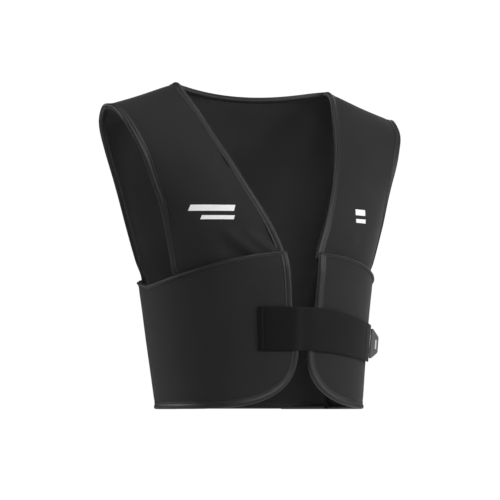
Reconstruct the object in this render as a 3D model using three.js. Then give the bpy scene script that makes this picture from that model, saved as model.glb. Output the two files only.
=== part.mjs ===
// A padded rib protector in its worn form: a short sleeveless vest with a waist wrap closed at the front.
// Millimetres, +Z up. The front faces -Y and the wearer's right is -X. The origin lies midway between the
// two neck points, on the shoulder ridge, and the vest hangs below it.
import * as THREE from 'three';

// Body form
const vestHeight = 490; // from the hem up to the shoulder ridge
const waistHalfWidth = 169; // middle of the padding, at the top of the wraps
const frontDepth = 144; // from the ridge plane to the front of the waist
const backDepth = 113; // from the ridge plane to the back of the waist
const hemForward = 17; // how far the hem stands forward of the ridge plane
const sectionPower = 2.36; // 2 makes the back of the sections elliptic, more makes it squarer
const neckHalfWidth = 127; // from the middle to a neck point
const neckSag = 14; // dip of the back of the neck
const shoulderHalfWidth = 247; // from the middle to the outer edge of a shoulder
const ridgeDrop = 3.9; // from the top of the ridge down to the middle of its padding
const shoulderSlope = 0.363; // fall of the ridge for each millimetre outwards
const shoulderSag = 2.5; // extra fall halfway along a shoulder
const slopeSoftness = 20; // rounding where the shoulder starts to fall
const slopeReach = 60; // depth below the ridge over which the fall fades away

// Padding and tape
const paddingThickness = 7;
const paddingEdgeThickness = 4.5; // pressed thin under the tape
const wrapThickness = 6;
const wrapEdgeThickness = 4;
const tapeThickness = 1.2;
const tapeWidth = 9; // cover of the folded tape on each face
const pipingWidth = 4; // cover of the narrow tape on top of the wraps
const edgeSlope = 6; // width over which the padding grows from its edge to its full thickness
const clearance = 0.3; // gap between pieces that touch
const tapeClearance = 0.8; // gap between the faces of the padding and the tape, which twist together

// Waist wraps
const wrapSideHeight = 186; // top edge of a wrap above the hem, at the side
const wrapFrontRise = 44.5; // extra height of the top edge at the front
const wrapRisePower = 1.55; // how fast the top edge falls away from the front
const wrapBackRise = 20; // extra height of the top edge towards the middle of the back
const wrapRearTurn = 145 * Math.PI / 180; // where a wrap ends on the back, turned from the front
const wrapCornerWidth = 130; // round lower front corner, along the hem
const wrapCornerHeight = 90; // the same, up the front edge
const cornerPower = 2.5; // 2 makes the corner an ellipse
const shoulderTuck = 26; // length of the shoulder fronts hidden under the wraps
const tapeRoom = 3; // from the top of a wrap up to the end of the tape above it
const armFrontRise = 5; // how much higher than at the side a wrap meets the front edge of an armhole
const cornerLookTurn = 0.05; // short way along the top edge that gives its direction at the front corner
const backSideTurn = 112 * Math.PI / 180; // side edge of the back panel under the wraps
const backSidePace = 3; // the side edge has run out to that turn after one part in three of its length

// Closure strap and its grip
const strapThickness = 2;
const strapWidth = 64;
const strapEndWidth = 56;
const strapHeight = 118; // middle of the sewn end above the hem
const strapDrop = 18; // how much lower the free end lies
const strapDropStart = 0.3; // share of its length after which it starts to drop
const strapSewnTurn = 24 * Math.PI / 180; // sewn end, on the right wrap
const strapFreeTurn = 60 * Math.PI / 180; // free end, on the left wrap
const gripLength = 24;
const gripBaseWidth = 48;
const gripTipWidth = 24;
const gripThickness = 3;
const gripOverlap = 6; // length of the grip that lies on the strap
const gripFlare = 25 * Math.PI / 180; // how far the grip stands away from the side
const gripCornerRadius = 4;

// Mesh density
const edgeStep = 20;
const bendWeight = 70; // a bend of one radian counts as this much length
const gridStep = 28;
const columnTurn = Math.PI / 26; // panels that lie on each other share one grid, so their faces stay apart
const topRowShare = 0.5; // rows start at this share of gridStep on the ridge
const rowGrowth = 1.5; // and grow by this share of it for each unit of arch
const gridRoom = 0.45; // share of gridStep that a grid spot keeps from its neighbours
const gridMargin = 0.42; // and from the outline
const stripRoom = 0.8; // share of edgeSlope that spots along a taped edge keep from each other
const stripMargin = 0.9; // share of their own distance that they keep from the outline
const normalStep = 0.012; // step to each side over which the slopes of the form are measured
const widestShare = 0.999; // the front and back halves reach out to this share of the width
const growthSlack = 0.2; // the padding grows this much inside both ends of its slope
const touching = 0.01; // points closer than this are the same
const angleSlack = 0.01; // two opposite angles must pass a half turn by this before their edge is turned
const walkSamples = 80;
const shiftSteps = 4;
const cornerPasses = 8;
const strapSteps = 22;
const gripCornerSteps = 3;

// Middle of the padding at each level. Width is a share of waistHalfWidth, front of frontDepth, back of
// backDepth and lean of hemForward. Power makes the front half squarer. Level is a share of vestHeight
// above the hem.
const torsoSections = [
  { level: 1.0, width: 1.95, front: 0.0, back: 0.0, lean: 0.0, power: 2.36 },
  { level: 0.99, width: 1.945, front: 0.085, back: 0.165, lean: 0.0, power: 2.8 },
  { level: 0.965, width: 1.93, front: 0.162, back: 0.32, lean: 0.0, power: 3.7 },
  { level: 0.92, width: 1.85, front: 0.291, back: 0.5, lean: -0.05, power: 4.3 },
  { level: 0.84, width: 1.67, front: 0.5, back: 0.7, lean: -0.05, power: 3.0 },
  { level: 0.715, width: 1.39, front: 0.79, back: 0.9, lean: 0.0, power: 2.36 },
  { level: 0.57, width: 1.18, front: 1.01, back: 1.02, lean: 0.0, power: 2.36 },
  { level: 0.46, width: 1.07, front: 1.06, back: 1.025, lean: 0.15, power: 2.26 },
  { level: 0.41, width: 1.015, front: 1.07, back: 1.005, lean: 0.3, power: 2.16 },
  { level: 0.2, width: 0.935, front: 0.985, back: 0.965, lean: 0.65, power: 2.16 },
  { level: 0.0, width: 0.865, front: 0.905, back: 0.905, lean: 1.0, power: 2.3 },
];

// Finished front edge, from the middle. Half is a share of neckHalfWidth.
const frontOpening = [
  { level: 1.0, half: 1.0 },
  { level: 0.975, half: 0.985 },
  { level: 0.945, half: 0.949 },
  { level: 0.9, half: 0.89 },
  { level: 0.81, half: 0.772 },
  { level: 0.715, half: 0.617 },
  { level: 0.66, half: 0.528 },
  { level: 0.6, half: 0.422 },
  { level: 0.53, half: 0.306 },
  { level: 0.475, half: 0.223 },
  { level: 0.42, half: 0.185 },
  { level: 0.35, half: 0.16 },
  { level: 0.3, half: 0.145 },
  { level: 0.18, half: 0.055 },
  { level: 0.0, half: 0.045 },
];

// Finished armhole edges, from the middle. Front and back are shares of shoulderHalfWidth.
const armholes = [
  { level: 1.0, front: 1.0, back: 1.0 },
  { level: 0.95, front: 0.966, back: 0.965 },
  { level: 0.89, front: 0.943, back: 0.936 },
  { level: 0.81, front: 0.893, back: 0.881 },
  { level: 0.7, front: 0.819, back: 0.808 },
  { level: 0.62, front: 0.767, back: 0.762 },
  { level: 0.52, front: 0.717, back: 0.715 },
  { level: 0.45, front: 0.682, back: 0.681 },
  { level: 0.4, front: 0.652, back: 0.66 },
  { level: 0.3, front: 0.6, back: 0.62 },
];

// Values that follow from the sizes above
const edgeInset = clearance + tapeThickness; // from a finished edge in to the edge of the padding
const foldReach = tapeThickness + tapeClearance; // from the face of the padding to the outside of its tape
const wrapLift = (paddingEdgeThickness + wrapEdgeThickness) / 2 + 2 * foldReach + clearance;
const strapLift = wrapLift + Math.max(wrapThickness / 2, wrapEdgeThickness / 2 + foldReach)
  + clearance + strapThickness / 2;
const stripWidth = tapeWidth + 2 * clearance; // flat edge of the padding that the tape covers

// Rows of the shared grid, from the ridge down, closer together where the shoulders arch over
const rowArches = [];
for (let arch = 0; arch < 1;) {
  const step = gridStep * Math.min(1, topRowShare + rowGrowth * arch);
  arch += step / Math.hypot(2 * vestHeight * arch, frontDepth);
  rowArches.push(arch);
}

function between(from, to, share) {
  return from + (to - from) * share;
}

// Tables are read along the square root of the depth below the ridge, so that the shoulders arch over.
function archAt(level) {
  return Math.sqrt(Math.max(0, 1 - level));
}

function lookUp(table, column, level) {
  const at = archAt(level);
  let row = 0;
  while (row < table.length - 2 && at > archAt(table[row + 1].level)) {
    row += 1;
  }
  const place = (index) => archAt(table[index].level);
  const value = (index) => table[index][column];
  const slope = (index) => {
    const before = Math.max(0, index - 1);
    const after = Math.min(table.length - 1, index + 1);
    return (value(after) - value(before)) / (place(after) - place(before));
  };
  const span = place(row + 1) - place(row);
  const share = Math.min(1, Math.max(0, (at - place(row)) / span));
  const square = share * share;
  const cube = square * share;
  return value(row) * (2 * cube - 3 * square + 1) + value(row + 1) * (3 * square - 2 * cube)
    + slope(row) * span * (cube - 2 * square + share) + slope(row + 1) * span * (cube - square);
}

function softRamp(distance) {
  return (distance + Math.hypot(distance, slopeSoftness)) / 2;
}

function shoulderFall(x, depthBelowRidge) {
  const pastNeck = Math.abs(x) - neckHalfWidth;
  const outwards = softRamp(pastNeck) - softRamp(0);
  const share = THREE.MathUtils.clamp(pastNeck / (shoulderHalfWidth - neckHalfWidth), 0, 1);
  const fall = shoulderSlope * outwards + shoulderSag * Math.sin(Math.PI * share);
  return fall * Math.exp(-depthBelowRidge / slopeReach);
}

function powerAt(level, onBack) {
  return onBack ? sectionPower : lookUp(torsoSections, 'power', level);
}

// Middle of the padding. Turn goes from 0 at the front to the wearer's left, and pi is the back.
// Arch is 0 on the ridge and 1 at the hem; below 0 it has gone over the ridge to the other side.
function middlePoint(turn, arch) {
  const around = arch < 0 ? Math.PI - turn : turn;
  const level = 1 - arch * arch;
  const sine = Math.sin(around);
  const cosine = Math.cos(around);
  const power = powerAt(level, cosine < 0);
  const round = (Math.abs(sine) ** power + Math.abs(cosine) ** power) ** (1 / power);
  const x = waistHalfWidth * lookUp(torsoSections, 'width', level) * sine / round;
  const depth = cosine > 0
    ? frontDepth * lookUp(torsoSections, 'front', level)
    : backDepth * lookUp(torsoSections, 'back', level);
  const forward = Math.max(depth * Math.abs(cosine) / round, clearance / 2) * Math.sign(cosine);
  const lean = hemForward * lookUp(torsoSections, 'lean', level);
  const below = vestHeight * arch * arch;
  return new THREE.Vector3(x, -forward - lean, -ridgeDrop * level - below - shoulderFall(x, below));
}

function slopes({ turn, arch }) {
  const alongTurn = middlePoint(turn + normalStep, arch).sub(middlePoint(turn - normalStep, arch));
  const alongArch = middlePoint(turn, arch + normalStep).sub(middlePoint(turn, arch - normalStep));
  return {
    alongTurn: alongTurn.divideScalar(2 * normalStep),
    alongArch: alongArch.divideScalar(2 * normalStep),
  };
}

function normalAt(spot) {
  const { alongTurn, alongArch } = slopes(spot);
  return alongArch.cross(alongTurn).normalize();
}

function pointAt(spot, lift) {
  return middlePoint(spot.turn, spot.arch).addScaledVector(normalAt(spot), lift);
}

// A spot on the front or back half at a given distance from the middle plane.
function spotAt(x, level, onBack) {
  const halfWidth = waistHalfWidth * lookUp(torsoSections, 'width', level);
  const share = Math.min(Math.abs(x) / halfWidth, widestShare);
  const power = powerAt(level, onBack);
  const depthShare = (1 - share ** power) ** (1 / power);
  const turn = Math.atan2(share, depthShare) * Math.sign(x);
  return { turn: onBack ? Math.PI - turn : turn, arch: archAt(level) };
}

// Spots along a curve of the body form, which runs from 0 to 1: closer together where the form bends.
function walk(curve, lift) {
  const spots = Array.from({ length: walkSamples + 1 }, (_, index) => curve(index / walkSamples));
  const lengths = [0];
  for (let index = 1; index <= walkSamples; index += 1) {
    const stretch = pointAt(spots[index], lift).distanceTo(pointAt(spots[index - 1], lift));
    const bend = normalAt(spots[index]).angleTo(normalAt(spots[index - 1]));
    lengths.push(lengths[index - 1] + stretch + bendWeight * bend);
  }
  const total = lengths[walkSamples];
  const count = Math.max(1, Math.round(total / edgeStep));
  const result = [];
  for (let stop = 0; stop <= count; stop += 1) {
    const wanted = total * stop / count;
    let index = 1;
    while (index < walkSamples && lengths[index] < wanted) {
      index += 1;
    }
    const share = (wanted - lengths[index - 1]) / (lengths[index] - lengths[index - 1]);
    result.push(curve((index - 1 + share) / walkSamples));
  }
  return result;
}

// Spots along one level, at the columns of the shared grid.
function walkLevel(fromTurn, toTurn, arch) {
  const way = Math.sign(toTurn - fromTurn);
  const stops = [fromTurn];
  const halfColumn = columnTurn / 2;
  let next = Math.round(fromTurn / columnTurn) * columnTurn;
  while ((toTurn - next) * way > halfColumn) {
    if ((next - fromTurn) * way > halfColumn) {
      stops.push(next);
    }
    next += way * columnTurn;
  }
  return [...stops, toTurn].map((turn) => ({ turn, arch }));
}

// A spot moved over the surface by a length in the given direction.
function shifted(spot, direction, length) {
  let { turn, arch } = spot;
  for (let step = 0; step < shiftSteps; step += 1) {
    const { alongTurn, alongArch } = slopes({ turn, arch });
    const turnSquare = alongTurn.lengthSq();
    const archSquare = alongArch.lengthSq();
    const both = alongTurn.dot(alongArch);
    const byTurn = alongTurn.dot(direction);
    const byArch = alongArch.dot(direction);
    const scale = length / shiftSteps / (turnSquare * archSquare - both * both);
    turn += (byTurn * archSquare - byArch * both) * scale;
    arch += (byArch * turnSquare - byTurn * both) * scale;
  }
  return { turn, arch };
}

function distanceToPath(point, path) {
  const line = new THREE.Line3();
  const nearest = new THREE.Vector3();
  let least = Infinity;
  for (let index = 1; index < path.length; index += 1) {
    line.set(path[index - 1], path[index]);
    line.closestPointToPoint(point, true, nearest);
    least = Math.min(least, nearest.distanceTo(point));
  }
  return least;
}

function signedArea(a, b, c) {
  return (b.turn - a.turn) * (c.arch - a.arch) - (c.turn - a.turn) * (b.arch - a.arch);
}

function isInside(spot, outline) {
  let inside = false;
  for (let index = 0, last = outline.length - 1; index < outline.length; last = index, index += 1) {
    const a = outline[index];
    const b = outline[last];
    const crosses = (a.arch > spot.arch) !== (b.arch > spot.arch);
    if (crosses && spot.turn < (b.turn - a.turn) * (spot.arch - a.arch) / (b.arch - a.arch) + a.turn) {
      inside = !inside;
    }
  }
  return inside;
}

// Triangles over an outline and the spots inside it. Each spot splits the triangle that holds it, and then
// the shared edges are turned until each pair of neighbours is well shaped.
function triangulate(outline, inner, points) {
  const faces = THREE.ShapeUtils.triangulateShape(
    outline.map((spot) => new THREE.Vector2(spot.turn, spot.arch)),
    [],
  );
  const spots = [...outline, ...inner];
  const sense = Math.sign(signedArea(...faces[0].map((corner) => spots[corner])));
  inner.forEach((spot, index) => {
    const holder = faces.findIndex((face) => face.every((from, side) => {
      const to = face[(side + 1) % 3];
      return sense * signedArea(spots[from], spots[to], spot) >= 0;
    }));
    const [a, b, c] = faces[holder];
    const added = outline.length + index;
    faces[holder] = [a, b, added];
    faces.push([b, c, added], [c, a, added]);
  });
  while (turnEdges(faces, spots, points)) {
    // Each pass turns the edges that it finds, until none is left.
  }
  return faces;
}

function turnEdges(faces, spots, points) {
  const angleAt = (at, a, b) => {
    const [first, second] = [points[a].clone().sub(points[at]), points[b].clone().sub(points[at])];
    return first.angleTo(second);
  };
  const owners = new Map();
  faces.forEach((face, index) => {
    face.forEach((from, side) => {
      owners.set(`${from}_${face[(side + 1) % 3]}`, { index, apex: face[(side + 2) % 3] });
    });
  });
  const touched = new Set();
  for (const [key, first] of owners) {
    const [a, b] = key.split('_').map(Number);
    const second = owners.get(`${b}_${a}`);
    const free = second && !touched.has(first.index) && !touched.has(second.index);
    if (free && angleAt(first.apex, a, b) + angleAt(second.apex, a, b) > Math.PI + angleSlack) {
      const left = signedArea(spots[first.apex], spots[a], spots[second.apex]);
      const right = signedArea(spots[second.apex], spots[b], spots[first.apex]);
      if (left * right > 0) {
        faces[first.index] = [first.apex, a, second.apex];
        faces[second.index] = [second.apex, b, first.apex];
        touched.add(first.index);
        touched.add(second.index);
      }
    }
  }
  return touched.size > 0;
}

function closedGeometry(positions, faces) {
  const geometry = new THREE.BufferGeometry();
  geometry.setAttribute('position', new THREE.Float32BufferAttribute(positions.flatMap((p) => p.toArray()), 3));
  let volume = 0;
  for (const [a, b, c] of faces) {
    volume += positions[a].dot(positions[b].clone().cross(positions[c]));
  }
  const outward = volume > 0 ? faces : faces.map(([a, b, c]) => [a, c, b]);
  geometry.setIndex(outward.flat());
  geometry.computeVertexNormals();
  return geometry;
}

// Extra stops on a loose edge, where a taped edge next to it needs its flat strip
function looseEdge(spots, lift, tapedStart, tapedEnd) {
  const stopsFrom = (from, towards) => {
    const room = pointAt(towards, lift).distanceTo(pointAt(from, lift));
    return [stripWidth, stripWidth + edgeSlope]
      .filter((length) => length < room - edgeSlope / 2)
      .map((length) => ({
        turn: between(from.turn, towards.turn, length / room),
        arch: between(from.arch, towards.arch, length / room),
      }));
  };
  const startStops = tapedStart ? stopsFrom(spots[0], spots[1]) : [];
  const endStops = tapedEnd ? stopsFrom(spots.at(-1), spots.at(-2)).reverse() : [];
  return [spots[0], ...startStops, ...spots.slice(1, -1), ...endStops, spots.at(-1)];
}

// A padded panel: its edges follow each other round the outline, and taped ones are pressed thin.
function paddedPanel(edges, lift, fullThickness, thinThickness) {
  const outline = edges.flatMap(({ spots }) => spots.slice(0, -1));
  const border = outline.map((spot) => pointAt(spot, lift));
  const taped = edges.filter((edge) => edge.taped).map(({ spots }) => spots.map((spot) => pointAt(spot, lift)));
  const fromTape = (point) => Math.min(...taped.map((path) => distanceToPath(point, path)));
  const fromBorder = (point) => distanceToPath(point, [...border, border[0]]);
  const turningArea = outline.reduce((sum, spot, index) => {
    const next = outline[(index + 1) % outline.length];
    return sum + spot.turn * next.arch - next.turn * spot.arch;
  }, 0);

  const inner = [];
  const innerPoints = [];
  const addInner = (spot, apart, fromEdge) => {
    const point = pointAt(spot, lift);
    const room = innerPoints.every((other) => other.distanceTo(point) > apart);
    if (room && isInside(spot, outline) && fromBorder(point) > fromEdge) {
      inner.push(spot);
      innerPoints.push(point);
    }
  };
  const inwardAt = (index) => {
    const before = border.at(index - 1);
    const after = border[(index + 1) % border.length];
    const normal = normalAt(outline[index]);
    const sides = [border[index].clone().sub(before), after.clone().sub(border[index])];
    const [first, second] = sides.map((side) => side.cross(normal).normalize().multiplyScalar(
      turningArea > 0 ? 1 : -1,
    ));
    return first.clone().add(second).divideScalar(1 + first.dot(second));
  };
  for (const length of [stripWidth, stripWidth + edgeSlope]) {
    outline.forEach((spot, index) => {
      if (fromTape(border[index]) < touching) {
        addInner(shifted(spot, inwardAt(index), length), edgeSlope * stripRoom, length * stripMargin);
      }
    });
  }

  const turns = outline.map((spot) => spot.turn);
  rowArches.forEach((arch, row) => {
    const first = Math.floor(Math.min(...turns) / columnTurn);
    for (let column = first; column * columnTurn < Math.max(...turns); column += 1) {
      const turn = (column + (row % 2) / 2) * columnTurn;
      addInner({ turn, arch }, gridStep * gridRoom, gridStep * gridMargin);
    }
  });

  const spots = [...outline, ...inner];
  const middles = [...border, ...innerPoints];
  const faces = triangulate(outline, inner, middles);
  const halves = middles.map((point) => {
    const start = stripWidth + growthSlack;
    const end = stripWidth + edgeSlope - growthSlack;
    const grown = THREE.MathUtils.clamp((fromTape(point) - start) / (end - start), 0, 1);
    return between(thinThickness, fullThickness, grown) / 2;
  });
  const normals = spots.map(normalAt);
  const outside = middles.map((point, index) => point.clone().addScaledVector(normals[index], halves[index]));
  const inside = middles.map((point, index) => point.clone().addScaledVector(normals[index], -halves[index]));
  const count = spots.length;
  const allFaces = [];
  for (const [a, b, c] of faces) {
    allFaces.push([a, b, c], [a + count, c + count, b + count]);
  }
  const edgeKeys = new Set(faces.flatMap(([a, b, c]) => [`${a}_${b}`, `${b}_${c}`, `${c}_${a}`]));
  outline.forEach((_, index) => {
    const next = (index + 1) % outline.length;
    const [a, b] = edgeKeys.has(`${index}_${next}`) ? [index, next] : [next, index];
    allFaces.push([b, a, a + count], [b, a + count, b + count]);
  });
  return closedGeometry([...outside, ...inside], allFaces);
}

// Tape folded over an edge of padding: a U section carried along the spots of that edge. Its legs follow
// the form of the padding inwards from the edge.
function foldedTape(spots, lift, width, paddingEdge, flip) {
  const middles = spots.map((spot) => pointAt(spot, lift));
  const inner = paddingEdge / 2 + tapeClearance;
  const outer = inner + tapeThickness;
  const section = [
    [-width, outer], [clearance, outer], [edgeInset, 0], [clearance, -outer], [-width, -outer],
    [-width, -inner], [clearance, -inner], [clearance, inner], [-width, inner],
  ];
  const positions = [];
  spots.forEach((spot, index) => {
    const before = middles[Math.max(0, index - 1)];
    const after = middles[Math.min(middles.length - 1, index + 1)];
    const normal = normalAt(spot);
    const outwards = after.clone().sub(before).cross(normal).normalize().multiplyScalar(flip ? -1 : 1);
    const legSpot = shifted(spot, outwards, -width);
    const legPoint = pointAt(legSpot, lift);
    const legNormal = normalAt(legSpot);
    for (const [along, across] of section) {
      const onLeg = along < 0;
      const base = onLeg ? legPoint.clone() : middles[index].clone().addScaledVector(outwards, along);
      positions.push(base.addScaledVector(onLeg ? legNormal : normal, across));
    }
  });
  const size = section.length;
  const faces = [];
  for (let ring = 0; ring < spots.length - 1; ring += 1) {
    for (let corner = 0; corner < size; corner += 1) {
      const a = ring * size + corner;
      const b = ring * size + (corner + 1) % size;
      faces.push([a, b, b + size], [a, b + size, a + size]);
    }
  }
  const cap = THREE.ShapeUtils.triangulateShape(section.map(([u, v]) => new THREE.Vector2(u, v)), []);
  const last = (spots.length - 1) * size;
  for (const [a, b, c] of cap) {
    faces.push([a, b, c], [last + a, last + c, last + b]);
  }
  return closedGeometry(positions, faces);
}

// Top edge of the wraps as a share of vestHeight
function wrapTopLevel(turn) {
  const forward = Math.cos(turn);
  const rise = forward > 0 ? wrapFrontRise * forward ** wrapRisePower : -wrapBackRise * forward;
  return (wrapSideHeight + rise) / vestHeight;
}

function openingHalf(level) {
  return neckHalfWidth * lookUp(frontOpening, 'half', level) + edgeInset;
}

// Level at which the front edge meets the top of a wrap
function wrapCornerLevel() {
  let level = wrapTopLevel(0);
  for (let pass = 0; pass < cornerPasses; pass += 1) {
    level = wrapTopLevel(spotAt(openingHalf(level), level, false).turn);
  }
  return level - edgeInset / vestHeight;
}

// A curve on one side whose arch runs between two levels
function sideCurve(side, levels, halfAt, onBack) {
  const arches = levels.map(archAt);
  return (share) => {
    const arch = between(arches[0], arches[1], share);
    const level = 1 - arch * arch;
    return spotAt(side * halfAt(level), level, onBack);
  };
}

const ridgeHalf = { neck: neckHalfWidth + edgeInset, arm: shoulderHalfWidth - edgeInset };
const frontTuckLevel = (wrapTopLevel(0) * vestHeight - shoulderTuck) / vestHeight;
const armTuckLevel = (wrapSideHeight - shoulderTuck) / vestHeight;
const hemLevel = edgeInset / vestHeight;
const hemArch = archAt(hemLevel);

function armHalf(level, column) {
  return shoulderHalfWidth * lookUp(armholes, column, level) - edgeInset;
}

// Edges of one shoulder front, from the ridge down, with the tape ending just under the wrap
function shoulderEdges(side) {
  const cornerLevel = wrapCornerLevel();
  const neckTapeEnd = cornerLevel + tapeRoom / vestHeight;
  const armTapeEnd = (wrapSideHeight + armFrontRise + tapeRoom) / vestHeight;
  const arm = (level) => armHalf(level, 'front');
  return {
    neck: walk(sideCurve(side, [1, neckTapeEnd], openingHalf, false), 0),
    neckTuck: walk(sideCurve(side, [neckTapeEnd, frontTuckLevel], openingHalf, false), 0),
    arm: walk(sideCurve(side, [1, armTapeEnd], arm, false), 0),
    armTuck: walk(sideCurve(side, [armTapeEnd, armTuckLevel], arm, false), 0),
    ridge: walk((share) => spotAt(side * between(ridgeHalf.neck, ridgeHalf.arm, share), 1, false), 0),
    end: walk((share) => {
      const level = between(frontTuckLevel, armTuckLevel, share);
      const near = openingHalf(frontTuckLevel);
      return spotAt(side * between(near, arm(armTuckLevel), share), level, false);
    }, 0),
  };
}

function shoulderFront(edges) {
  return paddedPanel([
    { spots: looseEdge(edges.ridge, 0, true, true), taped: false },
    { spots: edges.arm, taped: true },
    { spots: looseEdge(edges.armTuck, 0, true, false), taped: false },
    { spots: [...edges.end].reverse(), taped: false },
    { spots: looseEdge([...edges.neckTuck].reverse(), 0, false, true), taped: false },
    { spots: [...edges.neck].reverse(), taped: true },
  ], 0, paddingThickness, paddingEdgeThickness);
}

// Edges of the back panel. Each goes from the wearer's right to the left or from the ridge down.
const backNeck = walk((share) => {
  const bend = between(-Math.PI / 2, Math.PI / 2, share);
  const drop = neckSag * Math.cos(bend) ** 2 / vestHeight;
  return spotAt(ridgeHalf.neck * Math.sin(bend), 1 - drop, true);
}, 0);
const backHem = walkLevel(2 * Math.PI - backSideTurn, backSideTurn, hemArch);

function backSide(side) {
  const tapeEnd = (wrapSideHeight + tapeRoom) / vestHeight;
  const arm = (level) => armHalf(level, 'back');
  const corner = sideCurve(side, [1, tapeEnd], arm, true);
  const start = corner(1);
  const sideTurn = side > 0 ? backSideTurn : 2 * Math.PI - backSideTurn;
  return {
    ridge: walk((share) => spotAt(side * between(ridgeHalf.neck, ridgeHalf.arm, share), 1, true), 0),
    arm: walk(corner, 0),
    below: walk((share) => ({
      turn: between(start.turn, sideTurn, Math.min(1, share * backSidePace)),
      arch: between(start.arch, hemArch, share),
    }), 0),
  };
}

function backPanel(right, left) {
  return paddedPanel([
    { spots: backNeck, taped: true },
    { spots: looseEdge(left.ridge, 0, true, true), taped: false },
    { spots: left.arm, taped: true },
    { spots: looseEdge(left.below, 0, true, true), taped: false },
    { spots: [...backHem].reverse(), taped: true },
    { spots: looseEdge([...right.below].reverse(), 0, true, true), taped: false },
    { spots: [...right.arm].reverse(), taped: true },
    { spots: looseEdge([...right.ridge].reverse(), 0, true, true), taped: false },
  ], 0, paddingThickness, paddingEdgeThickness);
}

// Edges of one wrap: down the front and round the corner, along the hem, and along the top
function wrapEdges(side) {
  const cornerLevel = wrapCornerLevel();
  const cornerTop = wrapCornerHeight / vestHeight;
  const cornerStart = openingHalf(cornerTop);
  const straight = walk(sideCurve(side, [cornerLevel, cornerTop], openingHalf, false), wrapLift);
  const cornerCurve = (share) => {
    const bend = share * Math.PI / 2;
    const out = 1 - Math.cos(bend) ** (2 / cornerPower);
    const down = Math.sin(bend) ** (2 / cornerPower);
    return spotAt(side * (cornerStart + wrapCornerWidth * out), between(cornerTop, hemLevel, down), false);
  };
  const corner = walk(cornerCurve, wrapLift);
  const hem = walkLevel(corner.at(-1).turn, side * wrapRearTurn, hemArch);
  const topSpot = (turn) => ({ turn, arch: archAt(wrapTopLevel(turn) - edgeInset / vestHeight) });
  const topStart = straight[0];
  const rearTop = topSpot(side * wrapRearTurn);
  const rear = walk((share) => ({
    turn: side * wrapRearTurn,
    arch: between(hemArch, rearTop.arch, share),
  }), wrapLift);
  const alongTop = topSpot(topStart.turn + side * cornerLookTurn);
  const direction = pointAt(alongTop, wrapLift).sub(pointAt(topStart, wrapLift)).normalize();
  const trimmedTurn = shifted(topStart, direction, stripWidth).turn;
  const top = walk((share) => topSpot(between(trimmedTurn, side * wrapRearTurn, share)), wrapLift);
  return { front: [...straight, ...corner.slice(1), ...hem.slice(1)], rear, top, topStart };
}

function waistWrap(edges) {
  return paddedPanel([
    { spots: edges.front, taped: true },
    { spots: looseEdge(edges.rear, wrapLift, true, true), taped: false },
    { spots: [...edges.top].reverse(), taped: true },
    { spots: [edges.top[0], edges.topStart], taped: true },
  ], wrapLift, wrapThickness, wrapEdgeThickness);
}

// The strap runs from its sewn end on the right wrap to its free end on the left one.
function strapMiddle(share) {
  const turn = between(-strapSewnTurn, strapFreeTurn, share);
  const fall = THREE.MathUtils.smoothstep(share, strapDropStart, 1);
  return { turn, height: strapHeight - strapDrop * fall, half: between(strapWidth, strapEndWidth, fall) / 2 };
}

function strapSpot(share, across) {
  const { turn, height, half } = strapMiddle(share);
  return { turn, arch: archAt((height + half * across) / vestHeight) };
}

function closureStrap() {
  const box = new THREE.BoxGeometry(1, 1, 1, strapSteps, 2, 1);
  const source = box.attributes.position;
  const merged = new Map();
  const positions = [];
  const place = [];
  for (let index = 0; index < source.count; index += 1) {
    const [along, across, out] = [source.getX(index) + 0.5, source.getY(index) * 2, source.getZ(index)];
    const key = `${along.toFixed(4)} ${across.toFixed(4)} ${out.toFixed(4)}`;
    if (!merged.has(key)) {
      merged.set(key, positions.length);
      positions.push(pointAt(strapSpot(along, across), strapLift + out * strapThickness));
    }
    place.push(merged.get(key));
  }
  const faces = [];
  for (let index = 0; index < box.index.count; index += 3) {
    faces.push([0, 1, 2].map((corner) => place[box.index.getX(index + corner)]));
  }
  return closedGeometry(positions, faces);
}

// The grip is a flat moulded tab with a wide base on the strap and a narrow tip that stands away.
function gripShape() {
  const shape = new THREE.Shape();
  const corners = [
    [0, -gripBaseWidth / 2], [gripLength, -gripTipWidth / 2],
    [gripLength, gripTipWidth / 2], [0, gripBaseWidth / 2],
  ].map(([x, y]) => new THREE.Vector2(x, y));
  corners.forEach((corner, index) => {
    const before = corners.at(index - 1);
    const after = corners[(index + 1) % corners.length];
    const near = corner.clone().add(before.clone().sub(corner).setLength(gripCornerRadius));
    const next = corner.clone().add(after.clone().sub(corner).setLength(gripCornerRadius));
    if (index === 0) {
      shape.moveTo(near.x, near.y);
    } else {
      shape.lineTo(near.x, near.y);
    }
    shape.quadraticCurveTo(corner.x, corner.y, next.x, next.y);
  });
  shape.closePath();
  return shape;
}

function pullTab() {
  const geometry = new THREE.ExtrudeGeometry(gripShape(), {
    depth: gripThickness, bevelEnabled: false, curveSegments: gripCornerSteps,
  });
  const end = strapSpot(1, 0);
  const normal = normalAt(end);
  const upwards = pointAt(strapSpot(1, 1), strapLift).sub(pointAt(strapSpot(1, -1), strapLift)).normalize();
  const along = upwards.clone().cross(normal).normalize();
  const outwards = along.clone().multiplyScalar(Math.cos(gripFlare)).addScaledVector(normal, Math.sin(gripFlare));
  const face = outwards.clone().cross(upwards).normalize();
  const seat = pointAt(end, strapLift + strapThickness / 2 + clearance);
  const start = seat.addScaledVector(along, -gripOverlap);
  geometry.applyMatrix4(new THREE.Matrix4().makeBasis(outwards, upwards, face).setPosition(start));
  return geometry;
}

const finishes = {
  fabric: { color: 0x1c1c1e, roughness: 0.92, metalness: 0 },
  tape: { color: 0x2a2a2c, roughness: 0.7, metalness: 0 },
  elastic: { color: 0x18181a, roughness: 0.85, metalness: 0 },
  rubber: { color: 0x8d9092, roughness: 0.55, metalness: 0 },
};

const vest = new THREE.Group();
vest.name = 'rib_protector';

function addPiece(name, geometry, finish) {
  const mesh = new THREE.Mesh(geometry, new THREE.MeshStandardMaterial(finishes[finish]));
  mesh.name = name;
  vest.add(mesh);
}

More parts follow.
